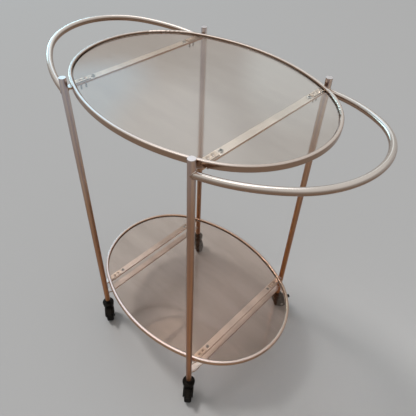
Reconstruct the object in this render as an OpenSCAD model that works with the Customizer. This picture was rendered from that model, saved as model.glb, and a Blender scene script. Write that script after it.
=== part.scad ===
// Two-tier oval serving cart on four hooded casters.
// Four upright tubes carry two oval glass trays on flat cross bars,
// and a bent tube loops out past each end as a handle.
// Origin on the floor at the middle, X along the cart, Z up, in millimetres.

/* [Uprights] */
// Distance between the left and right tube axes
leg_pitch_x = 360; // [340:5:380]
// Distance between the front and back tube axes
leg_pitch_y = 400; // [394:2:410]
// Height of the closed tube tops above the upper rim's underside
leg_rise = 23.5; // [18:0.5:30]
// Outer diameter of the upright tubes
leg_d = 15; // [14:0.5:16]
// Wall thickness of the upright tubes
leg_wall = 1.5; // [1:0.25:2]

/* [Trays] */
// Half length of the oval rims, on the centre of their section
tray_half_length = 300; // [290:0.5:310]
// Half width of the oval rims, on the centre of their section
tray_half_width = 220.5; // [216:0.5:222]
// Height of the upper rim's underside
top_tray_z = 795.5; // [780:0.5:800]
// Height of the lower rim's underside
lower_tray_z = 155; // [140:1:170]
// Width of the rim section
rim_w = 8; // [6:0.5:9]
// Height of the rim section
rim_h = 12.5; // [11:0.5:16]
// Rounding of the rim's upper edges
rim_top_r = 2.6; // [1:0.1:3]
// Rounding of the rim's lower edges
rim_base_r = 0.8; // [0.4:0.1:1.2]

/* [Glass] */
// Thickness of the glass plates
glass_t = 5; // [4:0.5:6]
// Gap between the glass edge and the rim
glass_gap = 0.8; // [0.5:0.1:1.5]
// Height of the soft pads under the glass
pad_h = 2.5; // [2.2:0.1:4]
// Diameter of the soft pads
pad_d = 9; // [6:0.5:12]
// Distance of the pads from the cart's long middle plane
pad_y = 131; // [110:1:134]

/* [Cross bars] */
// Width of the flat bars
bar_w = 17; // [14:0.5:18]
// Thickness of the flat bars
bar_t = 4.5; // [3:0.5:5]
// Width of a bar's neck where it meets the upright
neck_w = 8; // [6:0.5:8]
// Length over which a bar narrows to its neck
neck_run = 6; // [4:0.5:8]
// Distance of the stretcher bars below the lower tray bars
stretcher_drop = 46; // [30:1:60]

/* [Rim fixings] */
// Width of the tongues that join the rims to the bars
tongue_w = 13; // [10:0.5:14]
// Thickness of the tongues
tongue_t = 2; // [1.5:0.1:2]
// Distance of the tongue's free end from the middle plane
tongue_y = 141; // [138:1:144]
// Distance of the inner screw from the middle plane
screw_y = 150; // [148:1:152]
// Distance between the two screws of a tongue
screw_pitch = 12; // [11:0.5:13]
// Diameter of the screw shanks
screw_d = 4; // [3:0.5:4]
// Length of the screws, countersunk head included
screw_length = 19; // [16:1:22]
// Width of the nuts across their flats
nut_flats = 7; // [7:0.5:8]
// Thickness of the nuts
nut_t = 3.2; // [2.5:0.1:4]

/* [Handles] */
// Outer diameter of the handle tube
handle_d = 14; // [12:0.5:14]
// Wall thickness of the handle tube
handle_wall = 1.2; // [1:0.1:2]
// Drop of the handle axis below the upper rim's underside at the uprights
handle_drop = 7.5; // [7.5:0.5:12]
// Rise of the loop towards its tip, in degrees
handle_rise = 7.4; // [4:0.1:10]
// Distance from the uprights to the tip along the loop's plane
handle_reach = 222; // [215:1:230]
// Radius of the loop's end bend
handle_end_r = 170; // [165:1:172]

/* [Casters] */
// Wheel diameter
wheel_d = 42; // [40:0.5:46]
// Width of the tyre
tyre_w = 20; // [18:0.5:20]
// Distance of the axle behind the swivel axis
trail = 19; // [17:0.5:20]
// Diameter of the swivel stem
stem_d = 8; // [7:0.5:8]
// Radial running clearance of the stem and of the axle
running_gap = 0.05; // [0.02:0.01:0.1]
// Clearance of the hood round the tyre
hood_gap = 1.5; // [1:0.1:2]
// Wall thickness of the hood over the tyre
hood_wall = 2.5; // [2:0.1:3]
// Diameter of the hood's swivel head
head_d = 34; // [30:1:36]
// Diameter of the axle
axle_d = 6; // [5:0.5:6]
// Direction in which the front left caster trails
front_left_trail = -33; // [-180:1:180]
// Direction in which the front right caster trails
front_right_trail = -49; // [-180:1:180]
// Direction in which the back left caster trails
back_left_trail = -34; // [-180:1:180]
// Direction in which the back right caster trails
back_right_trail = 49; // [-180:1:180]

/* [Hidden] */

// Reach of cutting shapes past the faces that they cut
cut = 1;

// Half pitches of the uprights, and their radii
leg_x = leg_pitch_x / 2;
leg_y = leg_pitch_y / 2;
leg_r = leg_d / 2;
leg_bore_r = leg_r - leg_wall;
leg_top = top_tray_z + leg_rise;

// Corners of the cart as signs of X and Y
front_left = [-1, -1];
front_right = [1, -1];
back_left = [-1, 1];
back_right = [1, 1];
corners = [front_left, front_right, back_left, back_right];

// The oval is four tangent arcs, whose centres lie on right triangles of sides 39, 80 and 89:
// the arcs meet on the lines through their centres, with their places rounded to 0.01 mm
oval_run = [39, 80];
oval_k = norm(oval_run);
oval_unit = round(100 * (tray_half_length - tray_half_width)
    / (oval_run[0] + oval_run[1] - oval_k)) / 100;
oval_end_x = oval_run[0] * oval_unit;
oval_side_y = oval_run[1] * oval_unit;
oval_side_r = tray_half_width + oval_side_y;
oval_end_r = oval_side_r - oval_k * oval_unit;

// Radius of the screws' clearance holes, where their sunk heads begin
screw_sink_r = screw_d / 2 + 0.2;

// The glass lies on its pads, which stand on the bars
glass_inset = rim_w / 2 + glass_gap;
glass_edge_r = 1.2;

// The handle's side bends run tangent into its end bend, where the tube has a 3 to 4 slope,
// and through the uprights, with the bends' centres rounded to half a millimetre
handle_z = top_tray_z - handle_drop;
loop_x = handle_reach - handle_end_r;
loop_run = [0.6, 0.8];
loop_turn = atan2(4, 3);
loop_far = [-loop_x, leg_y];
loop_k = round((loop_far * loop_far - handle_end_r * handle_end_r)
    / (handle_end_r - loop_far * loop_run)) / 2;
loop_side = [loop_x, 0] - loop_k * loop_run;
loop_stop = 2 * [-loop_side[0], leg_y - loop_side[1]];

// Stack of heights of a caster, from the floor to the tube end
wheel_r = wheel_d / 2;
well_r = wheel_r + hood_gap;
hood_r = well_r + hood_wall;
hood_top = wheel_r + hood_r;
well_half_w = tyre_w / 2 + 1;
hood_half_w = well_half_w + 3;
hood_edge_r = 5;
hood_base = wheel_r - 6;
head_top = hood_top + 15.5;
head_edge_r = 2;
head_brim = 4;
head_waist = hood_top - 10;
head_waist_r = hood_half_w;
collar_t = 0.4;
collar_gap = 0.1;
socket_base = head_top + collar_t + collar_gap;
socket_flange = 12;
leg_base = socket_base + socket_flange;
socket_depth = 36;
stem_foot = hood_top;
stem_reach = 30;
stem_top = socket_base + stem_reach;
stem_r = stem_d / 2;

// Rear opening of the hood: a flat cut behind the axle that leans back towards its top
mouth_back = 8.5;
mouth_slope = 0.3;
mouth_top = hood_r - 3;

// Tab behind the head: it leaves the hood's crown and stays level
tab_reach = 43;
tab_half_w = 5;
tab_base = hood_top - 1.5;
tab_tip = hood_top + 0.5;
tab_top = hood_top + 3.5;

// Axle and wheel
axle_r = axle_d / 2;
rivet_r = 4.5;
rivet_t = 1.2;
core_r = wheel_r - 7;
core_bead_r = core_r + 2;
core_bead_half_w = 4;
core_web_half_w = 3.5;
core_web_r = core_r - 2.5;
hub_r = 6;
tyre_crown_r = 5;

// Depth of the plug under a tube's end cap, and thickness of the cap
cap_t = 1.5;
cap_plug = 6;
cap_edge_r = 0.6;

// Round section with the given corner radii, standing on the X axis, centred on Y
module soft_section(w, h, top_r, base_r) {
    union() {
        translate([-w / 2, base_r]) square([w, h - top_r - base_r]);
        translate([-w / 2 + base_r, 0]) square([w - 2 * base_r, h - top_r]);
        translate([-w / 2 + top_r, base_r]) square([w - 2 * top_r, h - base_r]);
        for (s = [-1, 1]) {
            translate([s * (w / 2 - top_r), h - top_r]) circle(r = top_r, $fn = 32);
            translate([s * (w / 2 - base_r), base_r]) circle(r = base_r, $fn = 24);
        }
    }
}

// Section with rounded outer corners that fills a turned plate out to radius r
module plate_section(r, h, edge_r) {
    union() {
        square([r - edge_r, h]);
        translate([0, edge_r]) square([r, h - 2 * edge_r]);
        for (z = [edge_r, h - edge_r]) {
            translate([r - edge_r, z]) circle(r = edge_r, $fn = 24);
        }
    }
}

// Keeps the part of a turned ring between two directions from its centre
module ring_part(centre, from, to) {
    reach = 20;
    translate([centre[0], centre[1], 0]) intersection() {
        children();
        translate([0, 0, -reach]) linear_extrude(2 * reach) polygon([[0, 0], from, to]);
    }
}

// Closed oval rim: its section runs round two end arcs and two side arcs
module oval_rim() {
    far = 8;
    union() {
        for (s = [-far, far]) {
            ring_part([sign(s) * oval_end_x, 0], [s * oval_run[0], -s * oval_run[1]], s * oval_run)
                rotate_extrude($fn = 240)
                translate([oval_end_r, 0]) soft_section(rim_w, rim_h, rim_top_r, rim_base_r);
            ring_part([0, -sign(s) * oval_side_y], s * oval_run, [-s * oval_run[0], s * oval_run[1]])
                rotate_extrude($fn = 360)
                translate([oval_side_r, 0]) soft_section(rim_w, rim_h, rim_top_r, rim_base_r);
        }
    }
}

// Oval glass plate with polished round edges, a gap inside the rim
module oval_glass() {
    far = 8;
    union() {
        for (s = [-far, far]) {
            ring_part([sign(s) * oval_end_x, 0], [s * oval_run[0], -s * oval_run[1]], s * oval_run)
                rotate_extrude($fn = 240)
                plate_section(oval_end_r - glass_inset, glass_t, glass_edge_r);
            ring_part([0, -sign(s) * oval_side_y], s * oval_run, [-s * oval_run[0], s * oval_run[1]])
                rotate_extrude($fn = 360)
                plate_section(oval_side_r - glass_inset, glass_t, glass_edge_r);
        }
    }
}

// Upright tube, standing on its caster socket and closed by its cap
module leg(corner) {
    color([0.60, 0.50, 0.44])
    translate([corner[0] * leg_x, corner[1] * leg_y, leg_base])
    difference() {
        cylinder(h = leg_top - cap_t - leg_base, r = leg_r, $fn = 64);
        translate([0, 0, -cut]) cylinder(h = leg_top, r = leg_bore_r, $fn = 64);
    }
}

// Flat caps with a plug, one in the top of each upright
module leg_caps() {
    color([0.62, 0.53, 0.47])
    for (c = corners) {
        translate([c[0] * leg_x, c[1] * leg_y, leg_top - cap_t]) {
            translate([0, 0, -cap_plug]) cylinder(h = cap_plug + cap_t / 2, r = leg_bore_r, $fn = 48);
            rotate_extrude($fn = 64) union() {
                square([leg_r - cap_edge_r, cap_t]);
                square([leg_r, cap_t - cap_edge_r]);
                translate([leg_r - cap_edge_r, cap_t - cap_edge_r]) circle(r = cap_edge_r, $fn = 24);
            }
        }
    }
}

// Pair of upright outlines at one end of the cart, for coping bars and handles
module upright_pair(side) {
    for (s = [-1, 1]) {
        translate([side * leg_x, s * leg_y, leg_base])
            cylinder(h = leg_top - leg_base, r = leg_r, $fn = 64);
    }
}

// Outline of a flat bar from upright to upright, with a neck at each end
module bar_outline() {
    neck_end = leg_y - leg_r / 2;
    neck_start = leg_y - leg_r - 2;
    shoulder = neck_start - neck_run;
    polygon([
        [bar_w / 2, -shoulder], [bar_w / 2, shoulder],
        [neck_w / 2, neck_start], [neck_w / 2, neck_end],
        [-neck_w / 2, neck_end], [-neck_w / 2, neck_start],
        [-bar_w / 2, shoulder], [-bar_w / 2, -shoulder],
        [-neck_w / 2, -neck_start], [-neck_w / 2, -neck_end],
        [neck_w / 2, -neck_end], [neck_w / 2, -neck_start]
    ]);
}

// Places its children at the four screws at one end of the cart
module screw_places(side) {
    for (s = [-1, 1], k = [0, 1]) {
        translate([side * leg_x, s * (screw_y + k * screw_pitch), 0]) children();
    }
}

// Flat bar welded between two uprights, with its top face at z
module cross_bar(side, z, drilled) {
    color([0.76, 0.72, 0.66])
    difference() {
        translate([side * leg_x, 0, z - bar_t]) linear_extrude(bar_t) bar_outline();
        upright_pair(side);
        if (drilled) {
            screw_places(side) translate([0, 0, z - bar_t - cut])
                cylinder(h = bar_t + 2 * cut, r = screw_sink_r, $fn = 32);
        }
    }
}

// Oval rim of one tray, lying on the bars at height z
module rim(z) {
    color([0.80, 0.76, 0.72]) translate([0, 0, z]) oval_rim();
}

// Glass plate of one tray
module glass(z) {
    color([0.62, 0.60, 0.58, 0.5]) translate([0, 0, z + pad_h]) oval_glass();
}

// Soft pads between the bars and the glass
module glass_pads(z) {
    color([0.66, 0.68, 0.68])
    for (c = corners) {
        translate([c[0] * leg_x, c[1] * pad_y, z])
            cylinder(h = pad_h, r1 = pad_d / 2, r2 = pad_d / 2 - 0.7, $fn = 40);
    }
}

// Tongues that reach from the rim's inner face onto the bars, countersunk for two screws
module rim_tongues(z) {
    color([0.74, 0.70, 0.64])
    for (c = corners) {
        difference() {
            intersection() {
                translate([c[0] * leg_x - tongue_w / 2, c[1] > 0 ? tongue_y : -leg_y, z])
                    cube([tongue_w, leg_y - tongue_y, tongue_t]);
                translate([0, -c[1] * oval_side_y, z - cut])
                    cylinder(h = tongue_t + 2 * cut, r = oval_side_r - rim_w / 2, $fn = 360);
            }
            for (k = [0, 1]) {
                translate([c[0] * leg_x, c[1] * (screw_y + k * screw_pitch), z]) {
                    translate([0, 0, -cut]) cylinder(h = tongue_t + 2 * cut, r = screw_sink_r, $fn = 32);
                    cylinder(h = tongue_t, r1 = screw_sink_r, r2 = screw_sink_r + tongue_t, $fn = 32);
                }
            }
        }
    }
}

// Countersunk screws, flush with the tongues
module rim_screws(z) {
    color([0.70, 0.70, 0.69])
    for (side = [-1, 1]) {
        screw_places(side) translate([0, 0, z + tongue_t]) union() {
            translate([0, 0, -tongue_t])
                cylinder(h = tongue_t, r1 = screw_sink_r, r2 = screw_sink_r + tongue_t, $fn = 32);
            translate([0, 0, -screw_length]) cylinder(h = screw_length, r = screw_d / 2, $fn = 32);
        }
    }
}

// Hexagonal nuts under the bars
module rim_nuts(z) {
    color([0.68, 0.68, 0.67])
    for (side = [-1, 1]) {
        screw_places(side) translate([0, 0, z - bar_t - nut_t]) difference() {
            cylinder(h = nut_t, d = nut_flats / cos(30), $fn = 6);
            translate([0, 0, -cut]) cylinder(h = nut_t + 2 * cut, r = screw_d / 2, $fn = 32);
        }
    }
}

// Ring section of the handle tube
module tube_section() {
    difference() {
        circle(r = handle_d / 2, $fn = 48);
        circle(r = handle_d / 2 - handle_wall, $fn = 48);
    }
}

// Bent tube of a loop handle in its own plane, from upright to upright, as two mirrored halves
module loop_tube() {
    far = 2 * (handle_end_r + loop_k);
    union() {
        for (m = [0, 1]) {
            mirror([0, m, 0]) union() {
                ring_part([loop_x, 0], [far, 0], far * loop_run)
                    rotate([0, 0, loop_turn]) rotate_extrude($fn = 180)
                    translate([handle_end_r, 0]) tube_section();
                ring_part(loop_side, far * loop_run, loop_stop)
                    rotate([0, 0, loop_turn]) rotate_extrude($fn = 240)
                    translate([handle_end_r + loop_k, 0]) tube_section();
            }
        }
    }
}

// Loop handle at one end: a tube coped to both uprights, rising towards its tip
module handle(side) {
    color([0.84, 0.80, 0.75])
    difference() {
        mirror([side < 0 ? 1 : 0, 0, 0])
            translate([leg_x, 0, handle_z]) rotate([0, -handle_rise, 0])
            loop_tube();
        upright_pair(side);
    }
}

// Places a caster's parts under a corner, trailing in the given direction
module under(corner, direction) {
    translate([corner[0] * leg_x, corner[1] * leg_y, 0]) rotate([0, 0, direction]) children();
}

// Plastic socket in the tube's end, bored for the stem
module caster_socket() {
    color([0.10, 0.09, 0.08])
    difference() {
        union() {
            translate([0, 0, socket_base]) cylinder(h = socket_flange, r = leg_r, $fn = 48);
            translate([0, 0, socket_base]) cylinder(h = socket_depth, r = leg_bore_r, $fn = 48);
        }
        translate([0, 0, socket_base - cut])
            cylinder(h = stem_top - socket_base + 2 * cut, r = stem_r + running_gap, $fn = 48);
    }
}

// Steel stem with its thrust collar, pressed into the swivel head
module caster_stem() {
    color([0.55, 0.55, 0.55])
    union() {
        translate([0, 0, stem_foot]) cylinder(h = stem_top - stem_foot, r = stem_r, $fn = 48);
        translate([0, 0, head_top]) cylinder(h = collar_t, r = stem_r + 2.5, $fn = 48);
    }
}

// Turns its children's section about the axle, which lies across the trail direction
module about_axle() {
    translate([trail, 0, wheel_r]) rotate([90, 0, 0]) children();
}

// Half section of the hood's round shell, doubled about the wheel's middle plane
module hood_section() {
    union() {
        translate([0, -hood_half_w]) square([hood_r - hood_edge_r, 2 * hood_half_w]);
        translate([0, hood_edge_r - hood_half_w]) square([hood_r, 2 * (hood_half_w - hood_edge_r)]);
        for (s = [-1, 1]) {
            translate([hood_r - hood_edge_r, s * (hood_half_w - hood_edge_r)])
                circle(r = hood_edge_r, $fn = 32);
        }
    }
}

// Half section of the swivel head: a flat top with a rounded rim on a narrowing waist
module head_section() {
    head_r = head_d / 2;
    union() {
        polygon([
            [0, head_waist], [head_waist_r, head_waist],
            [head_r, head_top - head_brim], [head_r, head_top - head_edge_r],
            [head_r - head_edge_r, head_top - head_edge_r], [0, head_top - head_edge_r]
        ]);
        translate([0, head_top - head_edge_r - cut]) square([head_r - head_edge_r, head_edge_r + cut]);
        translate([head_r - head_edge_r, head_top - head_edge_r]) circle(r = head_edge_r, $fn = 32);
    }
}

// Side profile of the tab that reaches back from the swivel head
module tab_profile() {
    polygon([[0, tab_base], [trail + 8, tab_base], [tab_reach, tab_tip], [tab_reach, tab_top], [0, tab_top]]);
}

// Side profile of what is cut from behind the axle, so that the tyre shows behind the hood
module mouth_profile() {
    polygon([
        [mouth_back - mouth_slope * hood_r, -hood_r], [2 * hood_r, -hood_r],
        [2 * hood_r, mouth_top], [mouth_back + mouth_slope * mouth_top, mouth_top]
    ]);
}

// Hood: round shell over the wheel, open below and behind, with its swivel head and a tab
module caster_hood() {
    color([0.07, 0.065, 0.06])
    difference() {
        union() {
            about_axle() rotate_extrude($fn = 96) hood_section();
            rotate_extrude($fn = 64) head_section();
            rotate([90, 0, 0]) translate([0, 0, -tab_half_w]) linear_extrude(2 * tab_half_w) tab_profile();
        }
        about_axle() translate([0, 0, -well_half_w]) cylinder(h = 2 * well_half_w, r = well_r, $fn = 96);
        about_axle() translate([0, 0, -head_d]) linear_extrude(2 * head_d) mouth_profile();
        translate([-hood_r, -head_d, -hood_r]) cube([2 * hood_r + 2 * trail, 2 * head_d, hood_r + hood_base]);
        about_axle() translate([0, 0, -head_d]) cylinder(h = 2 * head_d, r = axle_r, $fn = 48);
        translate([0, 0, stem_foot]) cylinder(h = head_top, r = stem_r, $fn = 48);
    }
}

// Steel axle, riveted over outside the hood's cheeks
module caster_axle() {
    color([0.45, 0.44, 0.43])
    about_axle() union() {
        translate([0, 0, -hood_half_w]) cylinder(h = 2 * hood_half_w, r = axle_r, $fn = 48);
        for (s = [0, 1]) {
            mirror([0, 0, s]) translate([0, 0, hood_half_w])
                cylinder(h = rivet_t, r1 = rivet_r, r2 = rivet_r - 1, $fn = 40);
        }
    }
}

// Moulded wheel core: hub, thin web and a rim whose raised bead keys the tyre
module wheel_core() {
    color([0.12, 0.11, 0.10])
    about_axle() difference() {
        union() {
            translate([0, 0, -tyre_w / 2]) cylinder(h = tyre_w, r = core_r, $fn = 72);
            translate([0, 0, -core_bead_half_w])
                cylinder(h = 2 * core_bead_half_w, r = core_bead_r, $fn = 72);
        }
        for (s = [0, 1]) {
            mirror([0, 0, s]) translate([0, 0, core_web_half_w]) difference() {
                cylinder(h = tyre_w, r = core_web_r, $fn = 72);
                translate([0, 0, -cut]) cylinder(h = tyre_w + 2 * cut, r = hub_r, $fn = 48);
            }
        }
        translate([0, 0, -tyre_w]) cylinder(h = 2 * tyre_w, r = axle_r + running_gap, $fn = 48);
    }
}

// Tyre with rounded shoulders, grooved inside for the core's bead
module wheel_tyre() {
    color([0.05, 0.05, 0.05])
    about_axle() difference() {
        rotate_extrude($fn = 96) union() {
            translate([core_r, -tyre_w / 2]) square([wheel_r - tyre_crown_r - core_r, tyre_w]);
            translate([core_r, tyre_crown_r - tyre_w / 2])
                square([wheel_r - core_r, tyre_w - 2 * tyre_crown_r]);
            for (s = [-1, 1]) {
                translate([wheel_r - tyre_crown_r, s * (tyre_w / 2 - tyre_crown_r)])
                    circle(r = tyre_crown_r, $fn = 40);
            }
        }
        translate([0, 0, -core_bead_half_w])
            cylinder(h = 2 * core_bead_half_w, r = core_bead_r, $fn = 72);
        translate([0, 0, -tyre_w]) cylinder(h = 2 * tyre_w, r = core_r, $fn = 72);
    }
}

leg(front_left);  // leg_front_left
leg(front_right);  // leg_front_right
leg(back_left);  // leg_back_left
leg(back_right);  // leg_back_right
leg_caps();
rim(top_tray_z);  // top_rim
rim(lower_tray_z);  // lower_rim
glass(top_tray_z);  // top_glass
glass(lower_tray_z);  // lower_glass
glass_pads(top_tray_z);  // top_glass_pads
glass_pads(lower_tray_z);  // lower_glass_pads
cross_bar(-1, top_tray_z, true);  // top_bar_left
cross_bar(1, top_tray_z, true);  // top_bar_right
cross_bar(-1, lower_tray_z, true);  // shelf_bar_left
cross_bar(1, lower_tray_z, true);  // shelf_bar_right
cross_bar(-1, lower_tray_z - stretcher_drop, false);  // stretcher_left
cross_bar(1, lower_tray_z - stretcher_drop, false);  // stretcher_right
rim_tongues(top_tray_z);  // top_rim_tongues
rim_tongues(lower_tray_z);  // lower_rim_tongues
rim_screws(top_tray_z);  // top_rim_screws
rim_screws(lower_tray_z);  // lower_rim_screws
rim_nuts(top_tray_z);  // top_rim_nuts
rim_nuts(lower_tray_z);  // lower_rim_nuts
handle(-1);  // handle_left
handle(1);  // handle_right
under(front_left, 0) caster_socket();  // caster_socket_front_left
under(front_right, 0) caster_socket();  // caster_socket_front_right
under(back_left, 0) caster_socket();  // caster_socket_back_left
under(back_right, 0) caster_socket();  // caster_socket_back_right
under(front_left, 0) caster_stem();  // caster_stem_front_left
under(front_right, 0) caster_stem();  // caster_stem_front_right
under(back_left, 0) caster_stem();  // caster_stem_back_left
under(back_right, 0) caster_stem();  // caster_stem_back_right
under(front_left, front_left_trail) caster_hood();  // caster_hood_front_left
under(front_right, front_right_trail) caster_hood();  // caster_hood_front_right
under(back_left, back_left_trail) caster_hood();  // caster_hood_back_left
under(back_right, back_right_trail) caster_hood();  // caster_hood_back_right
under(front_left, front_left_trail) caster_axle();  // caster_axle_front_left
under(front_right, front_right_trail) caster_axle();  // caster_axle_front_right
under(back_left, back_left_trail) caster_axle();  // caster_axle_back_left
under(back_right, back_right_trail) caster_axle();  // caster_axle_back_right
under(front_left, front_left_trail) wheel_core();  // wheel_core_front_left
under(front_right, front_right_trail) wheel_core();  // wheel_core_front_right
under(back_left, back_left_trail) wheel_core();  // wheel_core_back_left
under(back_right, back_right_trail) wheel_core();  // wheel_core_back_right
under(front_left, front_left_trail) wheel_tyre();  // wheel_tyre_front_left
under(front_right, front_right_trail) wheel_tyre();  // wheel_tyre_front_right
under(back_left, back_left_trail) wheel_tyre();  // wheel_tyre_back_left
under(back_right, back_right_trail) wheel_tyre();  // wheel_tyre_back_right
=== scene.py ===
import math

import bpy
from mathutils import Matrix, Vector


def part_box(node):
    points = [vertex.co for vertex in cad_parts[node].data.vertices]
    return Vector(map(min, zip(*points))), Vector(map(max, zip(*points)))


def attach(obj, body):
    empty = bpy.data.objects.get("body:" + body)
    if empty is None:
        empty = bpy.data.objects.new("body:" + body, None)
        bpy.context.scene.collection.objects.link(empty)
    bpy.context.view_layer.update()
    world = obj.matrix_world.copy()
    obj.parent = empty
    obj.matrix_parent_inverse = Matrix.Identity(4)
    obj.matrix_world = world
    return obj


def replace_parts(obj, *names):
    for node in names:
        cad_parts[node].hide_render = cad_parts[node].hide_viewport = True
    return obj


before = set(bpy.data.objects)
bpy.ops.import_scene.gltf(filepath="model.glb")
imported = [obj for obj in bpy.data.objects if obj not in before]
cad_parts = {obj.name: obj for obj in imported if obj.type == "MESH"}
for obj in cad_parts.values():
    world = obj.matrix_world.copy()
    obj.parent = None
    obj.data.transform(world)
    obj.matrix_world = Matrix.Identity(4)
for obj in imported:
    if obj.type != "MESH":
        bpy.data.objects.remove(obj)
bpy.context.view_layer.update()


# Camera: it stands beyond the front right upright and looks down on the cart,
# turned a little about its own line of sight, as the photograph was taken.
def add_object(name, data):
    """Makes an object and puts it in the scene."""
    thing = bpy.data.objects.new(name, data)
    bpy.context.scene.collection.objects.link(thing)
    return thing


camera_pan, camera_tilt, camera_roll = (math.radians(angle) for angle in (41.339, 42.299, 3.108))
sight = Vector((-math.sin(camera_pan) * math.cos(camera_tilt),
                math.cos(camera_pan) * math.cos(camera_tilt), -math.sin(camera_tilt)))
level = Vector((math.cos(camera_pan), math.sin(camera_pan), 0))
upward = level.cross(sight)
camera_right = math.cos(camera_roll) * level + math.sin(camera_roll) * upward
camera_up = -math.sin(camera_roll) * level + math.cos(camera_roll) * upward
picture_side, sensor_width = 416, 36
focal_pixels, axis_across, axis_down = 432.13, 210.50, 198.35
camera = add_object("photo_camera", bpy.data.cameras.new("photo_camera"))
camera.data.sensor_width = sensor_width
camera.data.lens = sensor_width * focal_pixels / picture_side
camera.data.shift_x = -(axis_across - picture_side / 2) / picture_side
camera.data.shift_y = (axis_down - picture_side / 2) / picture_side
camera.matrix_world = Matrix((camera_right, camera_up, -sight)).transposed().to_4x4()
camera.location = (0.55807, -0.58068, 1.22471)
bpy.context.scene.camera = camera

# Studio: a pale grey floor in a grey room, with one high lamp for the shadows,
# a cool window beyond the cart's left end, a soft panel overhead, and bright
# patches of the room that only the plate and the glass mirror.
floor_reach = 30
floor_corners = [(-floor_reach, -floor_reach, 0), (floor_reach, -floor_reach, 0),
                 (floor_reach, floor_reach, 0), (-floor_reach, floor_reach, 0)]
floor_mesh = bpy.data.meshes.new("studio_floor")
floor_mesh.from_pydata(floor_corners, [], [(0, 1, 2, 3)])
floor_paint = bpy.data.materials.new("floor_paint")
floor_paint.use_nodes = True
paint = floor_paint.node_tree.nodes["Principled BSDF"]
paint.inputs["Roughness"].default_value = 1.0
paint.inputs["Specular IOR Level"].default_value = 0.0
paint.inputs["Base Color"].default_value = (0.425, 0.416, 0.409, 1)
floor_mesh.materials.append(floor_paint)
add_object("studio_floor", floor_mesh)

studio = bpy.data.worlds.new("studio_room")
studio.use_nodes = True
room_nodes, room_links = studio.node_tree.nodes, studio.node_tree.links
room_way = room_nodes.new("ShaderNodeTexCoord").outputs["Generated"]
room_height = room_nodes.new("ShaderNodeSeparateXYZ")
room_links.new(room_way, room_height.inputs["Vector"])
room_fade = room_nodes.new("ShaderNodeMapRange")
room_fade.interpolation_type = "SMOOTHSTEP"
room_fade.inputs["From Min"].default_value = 0.3
room_fade.inputs["From Max"].default_value = 0.6
room_links.new(room_height.outputs["Z"], room_fade.inputs["Value"])
room_tone = room_nodes.new("ShaderNodeMix")
room_tone.data_type = "RGBA"
room_tone.inputs["A"].default_value = (0.38, 0.38, 0.38, 1)
room_tone.inputs["B"].default_value = (0.56, 0.56, 0.56, 1)
room_links.new(room_fade.outputs["Result"], room_tone.inputs["Factor"])


def add_glow(under, side, start, stop, colour, foot):
    """Lays a soft-edged bright patch over the room, round one direction and above a foot."""
    toward = room_nodes.new("ShaderNodeVectorMath")
    toward.operation = "DOT_PRODUCT"
    toward.inputs[1].default_value = side
    room_links.new(room_way, toward.inputs[0])
    patch = room_nodes.new("ShaderNodeMapRange")
    patch.interpolation_type = "SMOOTHSTEP"
    patch.inputs["From Min"].default_value = start
    patch.inputs["From Max"].default_value = stop
    room_links.new(toward.outputs["Value"], patch.inputs["Value"])
    over = room_nodes.new("ShaderNodeMapRange")
    over.interpolation_type = "SMOOTHSTEP"
    over.inputs["From Min"].default_value = foot
    over.inputs["From Max"].default_value = foot + 0.04
    room_links.new(room_height.outputs["Z"], over.inputs["Value"])
    share = room_nodes.new("ShaderNodeMath")
    share.operation = "MULTIPLY"
    room_links.new(patch.outputs["Result"], share.inputs[0])
    room_links.new(over.outputs["Result"], share.inputs[1])
    lit = room_nodes.new("ShaderNodeMix")
    lit.data_type = "RGBA"
    lit.inputs["B"].default_value = (*colour, 1)
    room_links.new(share.outputs[0], lit.inputs["Factor"])
    room_links.new(under, lit.inputs["A"])
    return lit.outputs["Result"]


room_light = room_tone.outputs["Result"]
for side, start, stop, colour, foot in (
    ((-0.775, 0.400, 0.490), 0.974, 0.996, (0.82, 1.26, 1.66), 0.40),
    ((-0.601, 0.541, 0.588), 0.982, 0.996, (0.98, 1.04, 1.10), 0.0),
    ((-0.446, 0.789, 0.423), 0.988, 0.997, (0.85, 0.95, 1.0), 0.36),
    ((-0.429, 0.335, 0.839), 0.974, 0.996, (0.92, 0.98, 1.08), 0.0),
):
    room_light = add_glow(room_light, side, start, stop, colour, foot)
room_ray = room_nodes.new("ShaderNodeLightPath")
room_seen = room_nodes.new("ShaderNodeMix")
room_seen.data_type = "RGBA"
room_links.new(room_ray.outputs["Is Camera Ray"], room_seen.inputs["Factor"])
room_links.new(room_light, room_seen.inputs["A"])
room_links.new(room_tone.outputs["Result"], room_seen.inputs["B"])
room_links.new(room_seen.outputs["Result"], room_nodes["Background"].inputs["Color"])
bpy.context.scene.world = studio
bpy.context.scene.view_settings.view_transform = "Standard"


def place_lamp(name, kind, energy, place, target):
    """Puts a lamp at place, facing target, out of the camera's sight."""
    lamp = add_object(name, bpy.data.lights.new(name, kind))
    lamp.data.energy = energy
    lamp.location = place
    lamp.rotation_euler = (Vector(target) - Vector(place)).to_track_quat("-Z", "Y").to_euler()
    lamp.visible_camera = False
    return lamp


high_lamp = place_lamp("high_lamp", "SUN", 1.45, (-2.53, -0.51, 4.29), (0, 0, 0))
high_lamp.data.angle = math.radians(11)
high_lamp.visible_glossy = False
window = place_lamp("window_left", "AREA", 120, (-8.0, 1.9, 2.1), (-0.2, 0, 0.9))
window.data.shape = "RECTANGLE"
window.data.size, window.data.size_y = 5.0, 2.4
window.data.color = (0.48, 0.84, 1.0)
soft_panel = place_lamp("soft_panel", "AREA", 20, (-1.7, 0.3, 5.2), (0, 0, 0.8))
soft_panel.data.shape = "RECTANGLE"
soft_panel.data.size, soft_panel.data.size_y = 3.0, 1.8


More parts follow.
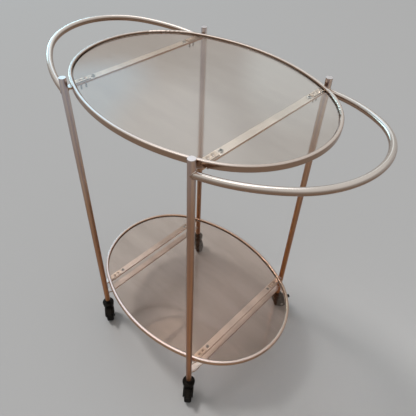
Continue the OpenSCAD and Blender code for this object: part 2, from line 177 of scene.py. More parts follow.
# Uprights: four round steel tubes in satin champagne plate, with a painted reflection that is copper at the
# foot and rosy above, and painted shade along their sides. They carry both trays on bars welded to them,
# and a flat cap with a plug is pressed into each top.
def shade_group(name, inputs, outputs):
    """An empty shader group: numbers, vectors of three or colours of four go in by name."""
    group = bpy.data.node_groups.new(name, "ShaderNodeTree")
    for label, value in inputs.items():
        kind = "Float" if isinstance(value, float) else {3: "Vector", 4: "Color"}[len(value)]
        socket = group.interface.new_socket(label, in_out="INPUT", socket_type="NodeSocket" + kind)
        socket.default_value = value
    for label, kind in outputs.items():
        group.interface.new_socket(label, in_out="OUTPUT", socket_type="NodeSocket" + kind)
    return group, group.nodes.new("NodeGroupInput"), group.nodes.new("NodeGroupOutput")


def metal_light_and_mottle_group():
    """Shared look of the plated metal: a painted highlight where it faces up, painted shade below that is
    warm and dark, and random mottling.
    """
    group, given, put = shade_group("metal_light_and_mottle", {
        "Upper Colour": (0.85, 0.8, 0.75, 1), "Under Colour": (0.4, 0.25, 0.18, 1), "Lift Start": -0.1,
        "Roughness": 0.3, "Cloud Size": 18.0, "Cloud Amount": 0.12, "Grain Stretch": (900.0, 900.0, 900.0),
    }, {"Color": "Color", "Roughness": "Float", "Grain": "Float"})
    nodes, links = group.nodes, group.links
    coords = nodes.new("ShaderNodeTexCoord")
    facing = nodes.new("ShaderNodeSeparateXYZ")
    links.new(coords.outputs["Normal"], facing.inputs["Vector"])
    clouds = nodes.new("ShaderNodeTexNoise")
    clouds.inputs["Detail"].default_value = 4
    links.new(coords.outputs["Object"], clouds.inputs["Vector"])
    links.new(given.outputs["Cloud Size"], clouds.inputs["Scale"])
    centred = nodes.new("ShaderNodeMath")
    centred.operation = "SUBTRACT"
    centred.inputs[1].default_value = 0.5
    links.new(clouds.outputs["Fac"], centred.inputs[0])
    drift = nodes.new("ShaderNodeMath")
    drift.operation = "MULTIPLY"
    links.new(centred.outputs[0], drift.inputs[0])
    links.new(given.outputs["Cloud Amount"], drift.inputs[1])
    # Painted light: the colour goes from the under colour to the upper colour as the surface turns to face
    # up.
    lift = nodes.new("ShaderNodeMapRange")
    lift.interpolation_type = "SMOOTHSTEP"
    lift.inputs["From Max"].default_value = 0.95
    links.new(given.outputs["Lift Start"], lift.inputs["From Min"])
    links.new(facing.outputs["Z"], lift.inputs["Value"])
    facing_light_and_mottle = nodes.new("ShaderNodeMath")
    facing_light_and_mottle.use_clamp = True
    links.new(lift.outputs["Result"], facing_light_and_mottle.inputs[0])
    links.new(drift.outputs[0], facing_light_and_mottle.inputs[1])
    tone = nodes.new("ShaderNodeMix")
    tone.data_type = "RGBA"
    links.new(facing_light_and_mottle.outputs[0], tone.inputs["Factor"])
    links.new(given.outputs["Under Colour"], tone.inputs["A"])
    links.new(given.outputs["Upper Colour"], tone.inputs["B"])
    links.new(tone.outputs["Result"], put.inputs["Color"])
    stretch = nodes.new("ShaderNodeVectorMath")
    stretch.operation = "MULTIPLY"
    links.new(coords.outputs["Object"], stretch.inputs[0])
    links.new(given.outputs["Grain Stretch"], stretch.inputs[1])
    grain = nodes.new("ShaderNodeTexNoise")
    grain.inputs["Scale"].default_value = 1
    grain.inputs["Detail"].default_value = 3
    links.new(stretch.outputs["Vector"], grain.inputs["Vector"])
    links.new(grain.outputs["Fac"], put.inputs["Grain"])
    rougher = nodes.new("ShaderNodeMath")
    rougher.operation = "MULTIPLY_ADD"
    rougher.inputs[1].default_value = 0.5
    links.new(drift.outputs[0], rougher.inputs[0])
    links.new(given.outputs["Roughness"], rougher.inputs[2])
    links.new(rougher.outputs[0], put.inputs["Roughness"])
    return group


def plated_metal(name, upper, under, roughness, stretch=(900, 900, 900), lift=-0.1):
    """A satin plated metal that uses the shared tone group, with its painted highlight above and painted
    shade below.
    """
    material = bpy.data.materials.new(name)
    material.use_nodes = True
    nodes, links = material.node_tree.nodes, material.node_tree.links
    shader = nodes["Principled BSDF"]
    shader.inputs["Metallic"].default_value = 1.0
    tone = nodes.new("ShaderNodeGroup")
    tone.name = "plate_tone"
    tone.node_tree = bpy.data.node_groups.get("metal_light_and_mottle") or metal_light_and_mottle_group()
    tone.inputs["Upper Colour"].default_value = (*upper, 1)
    tone.inputs["Under Colour"].default_value = (*under, 1)
    tone.inputs["Roughness"].default_value = roughness
    tone.inputs["Grain Stretch"].default_value = stretch
    tone.inputs["Lift Start"].default_value = lift
    links.new(tone.outputs["Color"], shader.inputs["Base Color"])
    links.new(tone.outputs["Roughness"], shader.inputs["Roughness"])
    ridges = nodes.new("ShaderNodeBump")
    ridges.inputs["Strength"].default_value = 0.04
    ridges.inputs["Distance"].default_value = 0.0002
    links.new(tone.outputs["Grain"], ridges.inputs["Height"])
    links.new(ridges.outputs["Normal"], shader.inputs["Normal"])
    return material


def finish_node(name, material):
    """Gives a CAD node its finish."""
    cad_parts[name].data.materials.clear()
    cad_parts[name].data.materials.append(material)


leg_finish = plated_metal("leg_champagne", (0.66, 0.58, 0.53), (0.62, 0.47, 0.39), 0.3, (900, 900, 40))
leg_nodes, leg_links = leg_finish.node_tree.nodes, leg_finish.node_tree.links
leg_coords = leg_nodes.new("ShaderNodeTexCoord")
# Painted reflection: copper at the foot and rosy above, a little lighter or darker from one upright to the
# next.
leg_height = leg_nodes.new("ShaderNodeVectorMath")
leg_height.operation = "DOT_PRODUCT"
leg_height.inputs[1].default_value = (-0.6, 0.25, 1.0)
leg_links.new(leg_coords.outputs["Object"], leg_height.inputs[0])
leg_painted_reflection = leg_nodes.new("ShaderNodeValToRGB")
leg_painted_reflection.color_ramp.interpolation = "EASE"
for place, colour in (
    (0.12, (0.55, 0.232, 0.090)), (0.35, (0.56, 0.26, 0.118)), (0.50, (0.54, 0.295, 0.160)),
    (0.64, (0.59, 0.41, 0.30)), (0.76, (0.68, 0.53, 0.43)), (0.83, (0.76, 0.64, 0.55)),
    (0.93, (0.95, 0.84, 0.74)),
):
    leg_painted_reflection.color_ramp.elements.new(place).color = (*colour, 1)
leg_painted_reflection.color_ramp.elements.remove(leg_painted_reflection.color_ramp.elements[0])
leg_painted_reflection.color_ramp.elements.remove(leg_painted_reflection.color_ramp.elements[-1])
leg_links.new(leg_height.outputs["Value"], leg_painted_reflection.inputs["Fac"])
leg_drawn = leg_nodes.new("ShaderNodeVectorMath")
leg_drawn.operation = "MULTIPLY"
leg_drawn.inputs[1].default_value = (190, 190, 2.5)
leg_links.new(leg_coords.outputs["Object"], leg_drawn.inputs[0])
leg_streaks = leg_nodes.new("ShaderNodeTexNoise")
leg_streaks.inputs["Scale"].default_value = 1
leg_streaks.inputs["Detail"].default_value = 2
leg_links.new(leg_drawn.outputs["Vector"], leg_streaks.inputs["Vector"])
leg_spread = leg_nodes.new("ShaderNodeMapRange")
leg_spread.inputs["From Min"].default_value = 0.32
leg_spread.inputs["From Max"].default_value = 0.68
leg_links.new(leg_streaks.outputs["Fac"], leg_spread.inputs["Value"])
leg_mauve = leg_nodes.new("ShaderNodeMix")
leg_mauve.data_type = "RGBA"
leg_mauve.blend_type = "MULTIPLY"
leg_mauve.inputs["B"].default_value = (0.66, 0.70, 0.88, 1)
leg_links.new(leg_spread.outputs["Result"], leg_mauve.inputs["Factor"])
leg_links.new(leg_painted_reflection.outputs["Color"], leg_mauve.inputs["A"])
# Painted shade: the sides of the tubes that turn away from view are darkened.
leg_turn = leg_nodes.new("ShaderNodeLayerWeight")
leg_grazing_mask = leg_nodes.new("ShaderNodeMapRange")
leg_grazing_mask.interpolation_type = "SMOOTHSTEP"
leg_grazing_mask.inputs["From Min"].default_value = 0.45
leg_grazing_mask.inputs["From Max"].default_value = 0.9
leg_links.new(leg_turn.outputs["Facing"], leg_grazing_mask.inputs["Value"])
leg_side_shade = leg_nodes.new("ShaderNodeMix")
leg_side_shade.data_type = "RGBA"
leg_side_shade.blend_type = "MULTIPLY"
leg_side_shade.inputs["B"].default_value = (0.52, 0.47, 0.45, 1)
leg_links.new(leg_grazing_mask.outputs["Result"], leg_side_shade.inputs["Factor"])
leg_links.new(leg_mauve.outputs["Result"], leg_side_shade.inputs["A"])
leg_links.new(leg_side_shade.outputs["Result"], leg_nodes["plate_tone"].inputs["Under Colour"])
leg_links.new(leg_side_shade.outputs["Result"], leg_nodes["plate_tone"].inputs["Upper Colour"])
corners = ("front_left", "front_right", "back_left", "back_right")
for corner in corners:
    finish_node("leg_" + corner, leg_finish)
finish_node("leg_caps", plated_metal("cap_champagne", (0.93, 0.86, 0.84), (0.5, 0.4, 0.34), 0.34))


# Cross bars and stretchers: flat steel strips with necked ends, welded between the two uprights at each end
# of the cart, in the paler plate. A bar lies under each tray, and a stretcher below each bar of the lower
# tray. On the shelf bars and stretchers, painted shade deepens toward the back of the cart.
def plate_painted_light_group():
    """Shared painted light and shade on a plate along one direction, through a back, a middle and a front
    colour.
    """
    group, given, put = shade_group("plate_painted_light", {
        "Way": (0.0, -3.2, 0.0), "Offset": 0.5, "Back Colour": (0.5, 0.45, 0.4, 1),
        "Middle Colour": (0.7, 0.6, 0.5, 1), "Front Colour": (0.95, 0.9, 0.85, 1),
    }, {"Color": "Color"})
    nodes, links = group.nodes, group.links
    spot = nodes.new("ShaderNodeVectorMath")
    spot.operation = "DOT_PRODUCT"
    links.new(nodes.new("ShaderNodeTexCoord").outputs["Object"], spot.inputs[0])
    links.new(given.outputs["Way"], spot.inputs[1])
    reach = nodes.new("ShaderNodeMath")
    reach.operation = "ADD"
    links.new(spot.outputs["Value"], reach.inputs[0])
    links.new(given.outputs["Offset"], reach.inputs[1])
    tone = given.outputs["Back Colour"]
    for start, stop, label in ((0.0, 0.36, "Middle Colour"), (0.36, 0.75, "Front Colour")):
        stretch = nodes.new("ShaderNodeMapRange")
        stretch.inputs["From Min"].default_value = start
        stretch.inputs["From Max"].default_value = stop
        links.new(reach.outputs[0], stretch.inputs["Value"])
        step = nodes.new("ShaderNodeMix")
        step.data_type = "RGBA"
        links.new(stretch.outputs["Result"], step.inputs["Factor"])
        links.new(tone, step.inputs["A"])
        links.new(given.outputs[label], step.inputs["B"])
        tone = step.outputs["Result"]
    links.new(tone, put.inputs["Color"])
    return group


def paint_light_along(finish, way, offset, back, middle, front):
    """Lets the upper colour of a plate change along one direction, from a back to a front colour, as
    painted shade that deepens toward the back.
    """
    nodes, links = finish.node_tree.nodes, finish.node_tree.links
    paling = nodes.new("ShaderNodeGroup")
    paling.node_tree = bpy.data.node_groups.get("plate_painted_light") or plate_painted_light_group()
    paling.inputs["Way"].default_value = way
    paling.inputs["Offset"].default_value = offset
    paling.inputs["Back Colour"].default_value = (*back, 1)
    paling.inputs["Middle Colour"].default_value = (*middle, 1)
    paling.inputs["Front Colour"].default_value = (*front, 1)
    links.new(paling.outputs["Color"], nodes["plate_tone"].inputs["Upper Colour"])


bar_upper, bar_under = (0.98, 0.97, 0.94), (0.46, 0.27, 0.16)
bar_grain, bar_way = (900, 60, 900), (2.2, -2.2, 0)
bar_finish = plated_metal("bar_plate", bar_upper, bar_under, 0.34, bar_grain)
shelf_bar_finish = plated_metal("shelf_bar_plate", bar_upper, bar_under, 0.34, bar_grain)
paint_light_along(shelf_bar_finish, bar_way, 0.55, (0.50, 0.45, 0.41), (0.74, 0.71, 0.69), (0.98, 1.0, 1.0))
stretcher_finish = plated_metal("stretcher_plate", (0.90, 0.82, 0.77), bar_under, 0.38, bar_grain)
paint_light_along(stretcher_finish, bar_way, 0.55, (0.44, 0.38, 0.34), (0.60, 0.54, 0.50), (0.92, 0.91, 0.90))
for end in ("left", "right"):
    finish_node("top_bar_" + end, bar_finish)
    finish_node("shelf_bar_" + end, shelf_bar_finish)
    finish_node("stretcher_" + end, stretcher_finish)

# Handles: a steel tube in the same plate loops out past each end of the cart, coped and welded to the two
# uprights and rising a little to its tip. Its top is pale with a painted highlight and its underside dark
# brown with painted shade.
handle_finish = plated_metal("handle_champagne", (0.93, 0.84, 0.76), (0.34, 0.215, 0.145), 0.2,
                             (500, 500, 500), 0.1)
finish_node("handle_left", handle_finish)
finish_node("handle_right", handle_finish)


# Weld beads: a thin run of weld metal goes round each bar end and each handle
# end where it meets an upright, and is plated over with the rest.
def grow_piece(name, source, tree, sizes):
    """Runs a tree on a source mesh and keeps what it makes as a plain piece on the frame."""
    maker = add_object(name + "_maker", source)
    growth = maker.modifiers.new("growth", "NODES")
    growth.node_group = tree
    sockets = {item.name: item.identifier for item in tree.interface.items_tree if item.in_out == "INPUT"}
    for label, size in sizes.items():
        growth[sockets[label]] = size
    mesh = bpy.data.meshes.new_from_object(maker.evaluated_get(bpy.context.evaluated_depsgraph_get()))
    mesh.name = name
    bpy.data.objects.remove(maker)
    piece = add_object(name, mesh)
    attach(piece, "frame")
    return piece


def new_tree(name, sizes):
    """An empty tree that takes geometry and named sizes."""
    tree = bpy.data.node_groups.new(name, "GeometryNodeTree")
    tree.interface.new_socket("Geometry", in_out="INPUT", socket_type="NodeSocketGeometry")
    for label, value in sizes.items():
        size = tree.interface.new_socket(label, in_out="INPUT", socket_type="NodeSocketFloat")
        size.default_value = value
    tree.interface.new_socket("Geometry", in_out="OUTPUT", socket_type="NodeSocketGeometry")
    return tree, tree.nodes.new("NodeGroupInput")


def close_tree(tree, result, finish):
    """Ends a tree in real geometry that carries its finish."""
    real = tree.nodes.new("GeometryNodeRealizeInstances")
    coat = tree.nodes.new("GeometryNodeSetMaterial")
    coat.inputs["Material"].default_value = finish
    tree.links.new(result, real.inputs[0])
    tree.links.new(real.outputs[0], coat.inputs["Geometry"])
    tree.links.new(coat.outputs[0], tree.nodes.new("NodeGroupOutput").inputs[0])


def weld_tree(finish):
    """Sweeps a rippled bead along every loop of edges."""
    tree, given = new_tree("weld_bead", {"Bead Radius": 0.001, "Ripple": 0.0005, "Ripple Size": 700.0})
    nodes, links = tree.nodes, tree.links
    run = nodes.new("GeometryNodeMeshToCurve")
    links.new(given.outputs["Geometry"], run.inputs["Mesh"])
    ring = nodes.new("GeometryNodeCurvePrimitiveCircle")
    ring.inputs["Resolution"].default_value = 8
    links.new(given.outputs["Bead Radius"], ring.inputs["Radius"])
    bead = nodes.new("GeometryNodeCurveToMesh")
    links.new(run.outputs["Curve"], bead.inputs["Curve"])
    links.new(ring.outputs["Curve"], bead.inputs["Profile Curve"])
    ripple = nodes.new("ShaderNodeTexNoise")
    ripple.inputs["Detail"].default_value = 1
    links.new(nodes.new("GeometryNodeInputPosition").outputs[0], ripple.inputs["Vector"])
    links.new(given.outputs["Ripple Size"], ripple.inputs["Scale"])
    height = nodes.new("ShaderNodeMath")
    height.operation = "MULTIPLY"
    links.new(ripple.outputs["Fac"], height.inputs[0])
    links.new(given.outputs["Ripple"], height.inputs[1])
    outward = nodes.new("ShaderNodeVectorMath")
    outward.operation = "SCALE"
    links.new(nodes.new("GeometryNodeInputNormal").outputs[0], outward.inputs[0])
    links.new(height.outputs[0], outward.inputs["Scale"])
    swell = nodes.new("GeometryNodeSetPosition")
    links.new(bead.outputs[0], swell.inputs["Geometry"])
    links.new(outward.outputs["Vector"], swell.inputs["Offset"])
    smooth = nodes.new("GeometryNodeSetShadeSmooth")
    links.new(swell.outputs[0], smooth.inputs["Geometry"])
    close_tree(tree, smooth.outputs[0], finish)
    return tree


def loops_mesh(name, loops):
    """A mesh of closed loops of edges."""
    points, edges = [], []
    for loop in loops:
        start = len(points)
        points += loop
        edges += [(start + i, start + (i + 1) % len(loop)) for i in range(len(loop))]
    mesh = bpy.data.meshes.new(name)
    mesh.from_pydata(points, edges, [])
    return mesh


leg_low, leg_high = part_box("leg_back_right")
leg_axis = (leg_low + leg_high) / 2
leg_radius = (leg_high.x - leg_low.x) / 2
neck_half, neck_steps, bar_clear = 0.0042, 6, 0.0002
bar_runs = []
for name in ("top_bar_right", "shelf_bar_right", "stretcher_right"):
    bar_low, bar_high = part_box(name)
    under, over = bar_low.z - bar_clear, bar_high.z + bar_clear
    middle = (over + under) / 2
    for side in (-1, 1):
        for end in (-1, 1):
            across = [neck_half * (i / neck_steps - 1) for i in range(2 * neck_steps + 1)]
            face = [(x, leg_axis.y - math.sqrt(leg_radius ** 2 - x * x)) for x in across]
            loop = [(x, y, over) for x, y in face] + [(neck_half, face[-1][1], middle)]
            loop += [(x, y, under) for x, y in reversed(face)] + [(-neck_half, face[0][1], middle)]
            bar_runs.append([(side * leg_axis.x + x, end * y, z) for x, y, z in loop])
grow_piece("bar_weld_beads", loops_mesh("bar_runs", bar_runs), weld_tree(bar_finish),
           {"Bead Radius": 0.0010, "Ripple": 0.0005})


def saddle_loop(place, way, tube, bar):
    """The line where a round tube leaving place along way meets an upright round bar."""
    flat = Vector((way.y, -way.x, 0)).normalized()
    steep = way.cross(flat)
    loop = []
    for i in range(36):
        turn = math.radians(10 * i)
        off = tube * (math.cos(turn) * flat + math.sin(turn) * steep)
        a, b = way.x ** 2 + way.y ** 2, off.x * way.x + off.y * way.y
        c = off.x ** 2 + off.y ** 2 - bar ** 2
        loop.append(place + off + way * ((-b + math.sqrt(b * b - a * c)) / a))
    return loop


handle_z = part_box("top_glass")[0].z - 0.010
handle_way, saddle_radius, saddle_clear = (0.9814, -0.1437, 0.1275), 0.00715, 0.0001
saddles = [saddle_loop(Vector((side * leg_axis.x, end * leg_axis.y, handle_z)),
                       Vector((side * handle_way[0], end * handle_way[1], handle_way[2])),
                       saddle_radius, leg_radius + saddle_clear)
           for side in (-1, 1) for end in (-1, 1)]
grow_piece("handle_weld_beads", loops_mesh("handle_saddles", saddles), weld_tree(handle_finish),
           {"Bead Radius": 0.0010, "Ripple": 0.0006})

# Rims: each tray has one oval ring of steel section with soft upper edges, plated like the uprights, pale
# on top with a painted highlight and copper on its sides with painted shade. It lies on the two bars of its
# tray. The lower rim is a more shaded copy, with painted shade that deepens toward the back.
rim_grain = (700, 700, 700)
rim_finish = plated_metal("rim_champagne", (0.88, 0.75, 0.66), (0.35, 0.225, 0.155), 0.2, rim_grain, 0.1)
lower_rim_shaded_finish = plated_metal("rim_champagne_shaded", (0.8, 0.7, 0.6), (0.50, 0.27, 0.15), 0.22, rim_grain, 0.55)
paint_light_along(lower_rim_shaded_finish, (0, -3.2, 0), 0.35, (0.58, 0.43, 0.34), (0.68, 0.52, 0.43), (0.90, 0.78, 0.73))
finish_node("top_rim", rim_finish)
finish_node("lower_rim", lower_rim_shaded_finish)

# Tongues: short flat steel tabs on the inner face of each rim, which lie on
# the bars and are countersunk for two screws each.
tongue_finish = plated_metal("tongue_plate", (0.88, 0.82, 0.75), (0.42, 0.32, 0.25), 0.3)
finish_node("top_rim_tongues", tongue_finish)
finish_node("lower_rim_tongues", tongue_finish)


# Screws and nuts: zinc plated countersunk screws with a cross recess hold
# each tongue to its bar, with a hexagonal nut under the bar.
def screw_tree(finish):
    """Puts a countersunk screw with its head's top face at each given point."""
    tree, given = new_tree("countersunk_screw", {
        "Head Radius": 0.0042, "Neck Radius": 0.0022, "Head Height": 0.002, "Shank Radius": 0.0017,
        "Thread Radius": 0.00028, "Length": 0.019, "Turns": 20.0, "Recess Width": 0.0009,
        "Recess Reach": 0.0046, "Recess Depth": 0.0014})
    nodes, links = tree.nodes, tree.links

    def lowered(shape, label, share, step):
        """Moves a shape down the screw by a share of a named size and a fixed step."""
        drop = nodes.new("ShaderNodeMath")
        drop.operation = "MULTIPLY_ADD"
        drop.inputs[1].default_value = -share
        drop.inputs[2].default_value = -step
        links.new(given.outputs[label], drop.inputs[0])
        place = nodes.new("ShaderNodeCombineXYZ")
        links.new(drop.outputs[0], place.inputs["Z"])
        shift = nodes.new("GeometryNodeTransform")
        links.new(shape, shift.inputs["Geometry"])
        links.new(place.outputs[0], shift.inputs["Translation"])
        return shift.outputs[0]

    head = nodes.new("GeometryNodeMeshCone")
    head.inputs["Vertices"].default_value = 32
    cone_sizes = (("Radius Top", "Head Radius"), ("Radius Bottom", "Neck Radius"), ("Depth", "Head Height"))
    for socket, label in cone_sizes:
        links.new(given.outputs[label], head.inputs[socket])
    recess = nodes.new("GeometryNodeJoinGeometry")
    for width_axis, reach_axis in (("X", "Y"), ("Y", "X")):
        arm = nodes.new("GeometryNodeMeshCube")
        size = nodes.new("ShaderNodeCombineXYZ")
        links.new(given.outputs["Recess Width"], size.inputs[width_axis])
        links.new(given.outputs["Recess Reach"], size.inputs[reach_axis])
        links.new(given.outputs["Recess Depth"], size.inputs["Z"])
        links.new(size.outputs[0], arm.inputs["Size"])
        links.new(arm.outputs["Mesh"], recess.inputs[0])
    cut = nodes.new("GeometryNodeMeshBoolean")
    cut.operation = "DIFFERENCE"
    cut.solver = "EXACT"
    links.new(lowered(head.outputs["Mesh"], "Head Height", 1.0, 0.0), cut.inputs["Mesh 1"])
    links.new(recess.outputs[0], cut.inputs["Mesh 2"])
    shank = nodes.new("GeometryNodeMeshCylinder")
    shank.inputs["Vertices"].default_value = 20
    links.new(given.outputs["Shank Radius"], shank.inputs["Radius"])
    links.new(given.outputs["Length"], shank.inputs["Depth"])
    thread = nodes.new("GeometryNodeCurveSpiral")
    thread.inputs["Resolution"].default_value = 12
    links.new(given.outputs["Turns"], thread.inputs["Rotations"])
    for socket in ("Start Radius", "End Radius"):
        links.new(given.outputs["Shank Radius"], thread.inputs[socket])
    links.new(given.outputs["Length"], thread.inputs["Height"])
    crest = nodes.new("GeometryNodeCurvePrimitiveCircle")
    crest.inputs["Resolution"].default_value = 4
    links.new(given.outputs["Thread Radius"], crest.inputs["Radius"])
    wound = nodes.new("GeometryNodeCurveToMesh")
    links.new(thread.outputs["Curve"], wound.inputs["Curve"])
    links.new(crest.outputs["Curve"], wound.inputs["Profile Curve"])
    wound.inputs["Fill Caps"].default_value = True
    shortened = nodes.new("GeometryNodeTransform")
    shortened.inputs["Scale"].default_value = (1, 1, 0.86)
    links.new(wound.outputs[0], shortened.inputs["Geometry"])
    screw = nodes.new("GeometryNodeJoinGeometry")
    links.new(cut.outputs["Mesh"], screw.inputs[0])
    links.new(lowered(shank.outputs["Mesh"], "Length", 0.5, 0.0009), screw.inputs[0])
    links.new(lowered(shortened.outputs[0], "Length", 1.0, 0.0006), screw.inputs[0])
    rows = nodes.new("GeometryNodeInstanceOnPoints")
    links.new(given.outputs["Geometry"], rows.inputs["Points"])
    links.new(screw.outputs[0], rows.inputs["Instance"])
    turned = nodes.new("FunctionNodeRandomValue")
    turned.data_type = "FLOAT_VECTOR"
    turned.inputs["Min"].default_value = (0, 0, 0)
    turned.inputs["Max"].default_value = (0, 0, math.pi / 2)
    turned.inputs["Seed"].default_value = 4
    links.new(turned.outputs["Value"], rows.inputs["Rotation"])
    close_tree(tree, rows.outputs[0], finish)
    return tree


screw_finish = plated_metal("screw_zinc", (0.95, 0.95, 0.94), (0.30, 0.28, 0.26), 0.24)
countersunk = screw_tree(screw_finish)
screw_rows = (0.150, 0.162)
for tray in ("top", "lower"):
    head_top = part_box(tray + "_rim_screws")[1].z
    heads = [(end * leg_axis.x, side * y, head_top)
             for end in (-1, 1) for side in (-1, 1) for y in screw_rows]
    places = bpy.data.meshes.new(tray + "_screw_places")
    places.from_pydata(heads, [], [])
    screws = grow_piece(tray + "_cross_screws", places, countersunk, {"Length": 0.019})
    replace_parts(screws, tray + "_rim_screws")
    finish_node(tray + "_rim_nuts", screw_finish)


# Pads: soft grey domes of silicone, stuck to the bars near their ends, which
# hold each glass plate off the metal.
def moulded_tone_group():
    """Shared look of moulded plastic and rubber: slight patches and a fine grain."""
    group, given, put = shade_group("moulded_tone", {
        "Colour": (0.01, 0.01, 0.01, 1), "Lighter Colour": (0.02, 0.02, 0.02, 1), "Roughness": 0.5,
        "Grain Size": 3000.0,
    }, {"Color": "Color", "Roughness": "Float", "Grain": "Float"})
    nodes, links = group.nodes, group.links
    coords = nodes.new("ShaderNodeTexCoord")
    patches = nodes.new("ShaderNodeTexNoise")
    patches.inputs["Scale"].default_value = 60
    patches.inputs["Detail"].default_value = 4
    links.new(coords.outputs["Object"], patches.inputs["Vector"])
    tone = nodes.new("ShaderNodeMix")
    tone.data_type = "RGBA"
    links.new(patches.outputs["Fac"], tone.inputs["Factor"])
    links.new(given.outputs["Colour"], tone.inputs["A"])
    links.new(given.outputs["Lighter Colour"], tone.inputs["B"])
    links.new(tone.outputs["Result"], put.inputs["Color"])
    worn = nodes.new("ShaderNodeMapRange")
    worn.inputs["To Min"].default_value = -0.08
    worn.inputs["To Max"].default_value = 0.08
    links.new(patches.outputs["Fac"], worn.inputs["Value"])
    rougher = nodes.new("ShaderNodeMath")
    rougher.operation = "ADD"
    links.new(worn.outputs["Result"], rougher.inputs[0])
    links.new(given.outputs["Roughness"], rougher.inputs[1])
    links.new(rougher.outputs[0], put.inputs["Roughness"])
    fine = nodes.new("ShaderNodeTexNoise")
    links.new(coords.outputs["Object"], fine.inputs["Vector"])
    links.new(given.outputs["Grain Size"], fine.inputs["Scale"])
    links.new(fine.outputs["Fac"], put.inputs["Grain"])
    return group


def moulded(name, colour, lighter, roughness, grain, bump=0.1, gloss=0.5):
    """A moulded plastic or rubber that uses the shared tone group."""
    material = bpy.data.materials.new(name)
    material.use_nodes = True
    nodes, links = material.node_tree.nodes, material.node_tree.links
    shader = nodes["Principled BSDF"]
    shader.inputs["Specular IOR Level"].default_value = gloss
    tone = nodes.new("ShaderNodeGroup")
    tone.node_tree = bpy.data.node_groups.get("moulded_tone") or moulded_tone_group()
    tone.inputs["Colour"].default_value = (*colour, 1)
    tone.inputs["Lighter Colour"].default_value = (*lighter, 1)
    tone.inputs["Roughness"].default_value = roughness
    tone.inputs["Grain Size"].default_value = grain
    links.new(tone.outputs["Color"], shader.inputs["Base Color"])
    links.new(tone.outputs["Roughness"], shader.inputs["Roughness"])
    ridges = nodes.new("ShaderNodeBump")
    ridges.inputs["Strength"].default_value = bump
    ridges.inputs["Distance"].default_value = 0.0002
    links.new(tone.outputs["Grain"], ridges.inputs["Height"])
    links.new(ridges.outputs["Normal"], shader.inputs["Normal"])
    return material


def pad_tree(finish):
    """Stands a moulded dome with its foot on each given point."""
    tree, given = new_tree("domed_pad", {"Pad Radius": 0.0045, "Wall Height": 0.001, "Crown Step": 0.0005})
    nodes, links = tree.nodes, tree.links
    foot = nodes.new("GeometryNodeMeshCylinder")
    foot.inputs["Vertices"].default_value = 40
    links.new(given.outputs["Pad Radius"], foot.inputs["Radius"])
    links.new(given.outputs["Wall Height"], foot.inputs["Depth"])
    shape, top = foot.outputs["Mesh"], foot.outputs["Top"]
    for share in (0.96, 0.88, 0.72):
        rise = nodes.new("GeometryNodeExtrudeMesh")
        links.new(shape, rise.inputs["Mesh"])
        links.new(top, rise.inputs["Selection"])
        links.new(given.outputs["Crown Step"], rise.inputs["Offset Scale"])
        draw_in = nodes.new("GeometryNodeScaleElements")
        links.new(rise.outputs["Mesh"], draw_in.inputs["Geometry"])
        links.new(rise.outputs["Top"], draw_in.inputs["Selection"])
        draw_in.inputs["Scale"].default_value = share
        shape, top = draw_in.outputs["Geometry"], rise.outputs["Top"]
    half = nodes.new("ShaderNodeMath")
    half.operation = "MULTIPLY"
    half.inputs[1].default_value = 0.5
    links.new(given.outputs["Wall Height"], half.inputs[0])
    place = nodes.new("ShaderNodeCombineXYZ")
    links.new(half.outputs[0], place.inputs["Z"])
    stand = nodes.new("GeometryNodeTransform")
    links.new(shape, stand.inputs["Geometry"])
    links.new(place.outputs[0], stand.inputs["Translation"])
    spots = nodes.new("GeometryNodeInstanceOnPoints")
    links.new(given.outputs["Geometry"], spots.inputs["Points"])
    links.new(stand.outputs[0], spots.inputs["Instance"])
    close_tree(tree, spots.outputs[0], finish)
    return tree


dome = pad_tree(moulded("pad_silicone", (0.42, 0.45, 0.46), (0.56, 0.60, 0.60), 0.3, 2000))
pad_row = 0.131
for tray in ("top", "lower"):
    foot_z, crown_z = (point.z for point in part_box(tray + "_glass_pads"))
    feet = [(end * leg_axis.x, side * pad_row, foot_z) for end in (-1, 1) for side in (-1, 1)]
    spots = bpy.data.meshes.new(tray + "_pad_spots")
    spots.from_pydata(feet, [], [])
    heights = {"Wall Height": (crown_z - foot_z) * 0.4, "Crown Step": (crown_z - foot_z) * 0.2}
    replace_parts(grow_piece(tray + "_pad_domes", spots, dome, heights), tray + "_glass_pads")


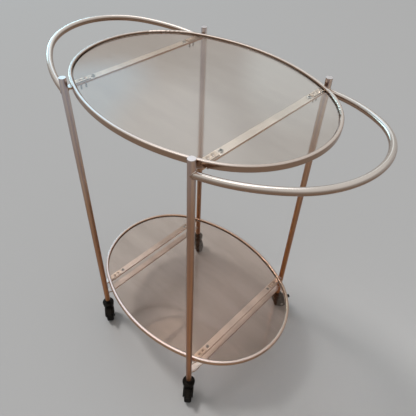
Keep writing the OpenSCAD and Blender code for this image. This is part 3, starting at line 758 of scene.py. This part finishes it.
# Glass: each tray is a plate of lightly smoked float glass with a polished edge, lying loose on its pads
# inside the rim, clouded by fine dust. Its tint changes along the cart as painted light: the lower plate
# darkens toward the right as painted shade, and the top plate is warmer at its left end, where this offsets
# the cool reflection.
def glass_dust_and_light_group():
    """Shared look of smoked glass: one tint passes into another along the cart as painted light, under
    drawn-out dust.
    """
    group, given, put = shade_group("glass_dust_and_light", {
        "Left Tint": (0.82, 0.71, 0.62, 1), "Right Tint": (0.74, 0.62, 0.54, 1), "Dust": 0.1,
    }, {"Color": "Color", "Roughness": "Float"})
    nodes, links = group.nodes, group.links
    coords = nodes.new("ShaderNodeTexCoord")
    drawn = nodes.new("ShaderNodeVectorMath")
    drawn.operation = "MULTIPLY"
    drawn.inputs[1].default_value = (4, 16, 8)
    links.new(coords.outputs["Object"], drawn.inputs[0])
    haze = nodes.new("ShaderNodeTexNoise")
    haze.inputs["Scale"].default_value = 1
    haze.inputs["Detail"].default_value = 5
    haze.inputs["Roughness"].default_value = 0.6
    links.new(drawn.outputs["Vector"], haze.inputs["Vector"])
    along = nodes.new("ShaderNodeSeparateXYZ")
    links.new(coords.outputs["Object"], along.inputs["Vector"])
    painted_light_mask = nodes.new("ShaderNodeMapRange")
    painted_light_mask.interpolation_type = "SMOOTHSTEP"
    painted_light_mask.inputs["From Min"].default_value = -0.25
    painted_light_mask.inputs["From Max"].default_value = 0.1
    links.new(along.outputs["X"], painted_light_mask.inputs["Value"])
    body = nodes.new("ShaderNodeMix")
    body.data_type = "RGBA"
    links.new(painted_light_mask.outputs["Result"], body.inputs["Factor"])
    links.new(given.outputs["Left Tint"], body.inputs["A"])
    links.new(given.outputs["Right Tint"], body.inputs["B"])
    cloud = nodes.new("ShaderNodeMapRange")
    cloud.inputs["From Min"].default_value = 0.25
    cloud.inputs["From Max"].default_value = 0.75
    cloud.inputs["To Min"].default_value = -1
    links.new(haze.outputs["Fac"], cloud.inputs["Value"])
    weight = nodes.new("ShaderNodeMath")
    weight.operation = "MULTIPLY_ADD"
    weight.inputs[2].default_value = 1
    links.new(cloud.outputs["Result"], weight.inputs[0])
    links.new(given.outputs["Dust"], weight.inputs[1])
    tone = nodes.new("ShaderNodeVectorMath")
    tone.operation = "SCALE"
    links.new(body.outputs["Result"], tone.inputs[0])
    links.new(weight.outputs[0], tone.inputs["Scale"])
    links.new(tone.outputs["Vector"], put.inputs["Color"])
    film = nodes.new("ShaderNodeMapRange")
    film.inputs["To Min"].default_value = 0.03
    film.inputs["To Max"].default_value = 0.09
    links.new(haze.outputs["Fac"], film.inputs["Value"])
    links.new(film.outputs["Result"], put.inputs["Roughness"])
    return group


def smoked_glass(name, left, right, shade, dust, gloss):
    """A tinted dusty glass, which lets light through to the floor in the colour of its shade."""
    material = bpy.data.materials.new(name)
    material.use_nodes = True
    nodes, links = material.node_tree.nodes, material.node_tree.links
    shader = nodes["Principled BSDF"]
    shader.inputs["Metallic"].default_value = 0.0
    shader.inputs["Transmission Weight"].default_value = 1.0
    shader.inputs["IOR"].default_value = 1.5
    shader.inputs["Specular IOR Level"].default_value = gloss
    shader.inputs["Specular Tint"].default_value = (1.0, 0.84, 0.70, 1)
    tone = nodes.new("ShaderNodeGroup")
    tone.node_tree = bpy.data.node_groups.get("glass_dust_and_light") or glass_dust_and_light_group()
    tone.inputs["Left Tint"].default_value = (*left, 1)
    tone.inputs["Right Tint"].default_value = (*right, 1)
    tone.inputs["Dust"].default_value = dust
    links.new(tone.outputs["Color"], shader.inputs["Base Color"])
    links.new(tone.outputs["Roughness"], shader.inputs["Roughness"])
    path = nodes.new("ShaderNodeLightPath")
    clear = nodes.new("ShaderNodeBsdfTransparent")
    clear.inputs["Color"].default_value = (*shade, 1)
    both = nodes.new("ShaderNodeMixShader")
    links.new(path.outputs["Is Shadow Ray"], both.inputs[0])
    links.new(shader.outputs[0], both.inputs[1])
    links.new(clear.outputs[0], both.inputs[2])
    links.new(both.outputs[0], nodes["Material Output"].inputs["Surface"])
    return material


top_glass_finish = smoked_glass("glass_top", left=(0.82, 0.71, 0.62), right=(0.91, 0.84, 0.775),
                                shade=(0.60, 0.61, 0.62), dust=0.07, gloss=0.3)
lower_glass_finish = smoked_glass("glass_lower", left=(0.84, 0.725, 0.645), right=(0.745, 0.62, 0.545),
                                  shade=(0.42, 0.44, 0.47), dust=0.14, gloss=0.4)
finish_node("top_glass", top_glass_finish)
finish_node("lower_glass", lower_glass_finish)

# Casters: a black moulded hood turns on a steel stem, which a plastic socket
# holds in the foot of each upright. In it a wheel with a moulded core and a
# rubber tyre runs on a steel axle, riveted over at both ends.
hood_finish = moulded("hood_plastic", (0.004, 0.0036, 0.003), (0.015, 0.011, 0.008),
                      roughness=0.5, grain=3000, gloss=0.12)
socket_finish = moulded("socket_plastic", (0.006, 0.005, 0.004), (0.016, 0.012, 0.009),
                        roughness=0.5, grain=3000, gloss=0.12)
core_finish = moulded("core_plastic", (0.008, 0.007, 0.006), (0.020, 0.016, 0.013),
                      roughness=0.5, grain=3000, gloss=0.15)
tyre_finish = moulded("tyre_rubber", (0.006, 0.0055, 0.005), (0.018, 0.015, 0.012),
                      roughness=0.75, grain=2500, bump=0.3, gloss=0.12)
steel_finish = plated_metal("caster_steel", (0.60, 0.59, 0.58), (0.4, 0.39, 0.38), 0.28)
for corner in corners:
    finish_node("caster_socket_" + corner, socket_finish)
    finish_node("caster_hood_" + corner, hood_finish)
    finish_node("wheel_core_" + corner, core_finish)
    finish_node("wheel_tyre_" + corner, tyre_finish)
    finish_node("caster_stem_" + corner, steel_finish)
    finish_node("caster_axle_" + corner, steel_finish)
